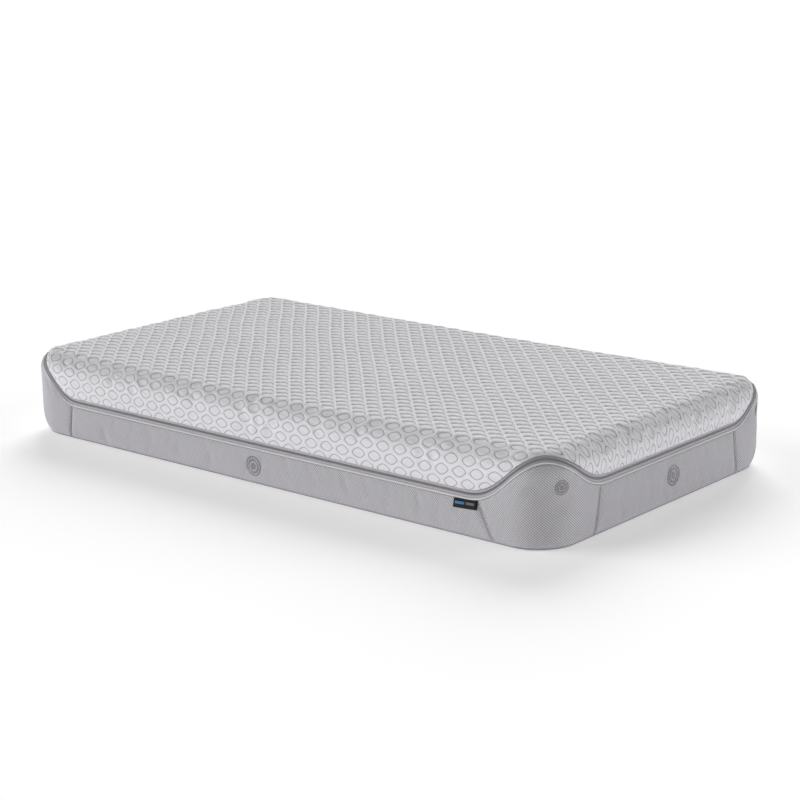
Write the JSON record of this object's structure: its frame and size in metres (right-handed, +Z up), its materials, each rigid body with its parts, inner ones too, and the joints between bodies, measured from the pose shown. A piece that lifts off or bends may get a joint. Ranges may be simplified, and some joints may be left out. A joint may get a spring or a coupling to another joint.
{
  "type": "memory foam mattress",
  "caption": "Rectangular foam mattress with rounded corners, a ring-knit top that zips off, a mesh border with a wavy piped zip line, and foam layers in an inner sleeve.",
  "frame": {"origin": "on the floor under the middle of the mattress", "axes": "+X along the length towards the right end, +Y across the width towards the back long side, which carries the zip's slider, +Z up through the thickness"},
  "size_m": [1.3196, 0.7215, 0.168],
  "materials": {
    "knit_cover": "stretch ring-pattern jacquard knit, soft matt",
    "zip_tape": "woven zip tape, matt",
    "zip_chain": "nylon coil, low sheen",
    "zip_metal": "cast zinc, satin nickel",
    "piping_cord": "white satin-covered cord",
    "border_mesh": "grey 3D spacer mesh, matt",
    "emblem_thread": "tone-on-tone embroidery thread, slight sheen",
    "bottom_fabric": "plain grey knit with grip dots",
    "binding_tape": "grey overlocked seam binding",
    "label_black": "black woven satin label",
    "label_white": "plain white non-woven label",
    "sleeve_knit": "cream fine-rib fire-barrier knit",
    "memory_foam": "pale open-cell viscoelastic foam",
    "base_foam": "white open-cell support foam"
  },
  "bodies": {
    "mattress": {"zip_tape_lower": "zip_tape", "zip_chain_lower": "zip_chain", "zip_stop_start": "zip_metal", "zip_stop_end": "zip_metal", "piping": "piping_cord", "border_corner_front_right": "border_mesh", "emblem_corner_front_right": "emblem_thread", "border_corner_back_right": "border_mesh", "emblem_corner_back_right": "emblem_thread", "border_corner_back_left": "border_mesh", "emblem_corner_back_left": "emblem_thread", "border_corner_front_left": "border_mesh", "emblem_corner_front_left": "emblem_thread", "border_front": "border_mesh", "emblem_front": "emblem_thread", "border_right": "border_mesh", "emblem_right": "emblem_thread", "border_back": "border_mesh", "emblem_back": "emblem_thread", "border_left": "border_mesh", "emblem_left": "emblem_thread", "bottom_panel": "bottom_fabric", "foot_binding": "binding_tape", "side_label": "label_black", "care_label": "label_white", "fire_barrier_sleeve": "sleeve_knit", "foam_memory": "memory_foam", "foam_base": "base_foam"},
    "cover": {"top_cover": "knit_cover", "zip_tape_upper": "zip_tape", "zip_chain_upper": "zip_chain"},
    "slider": {"zip_slider": "zip_metal"},
    "pull": {"zip_pull": "zip_metal"}
  },
  "joints": [
    {"name": "cover_lift", "type": "slide", "parent": "mattress", "child": "cover", "axis": [0, 0, 1], "range_m": [0, 0.3]},
    {"name": "zip_slide", "type": "slide", "parent": "mattress", "child": "slider", "axis": [-1, 0, 0], "range_m": [0, 0.87]},
    {"name": "pull_swing", "type": "hinge", "parent": "slider", "child": "pull", "pos_m": [0.435, 0.3608, 0.0788], "axis": [0, 1, 0], "range_deg": [-85, 85]}
  ]
}
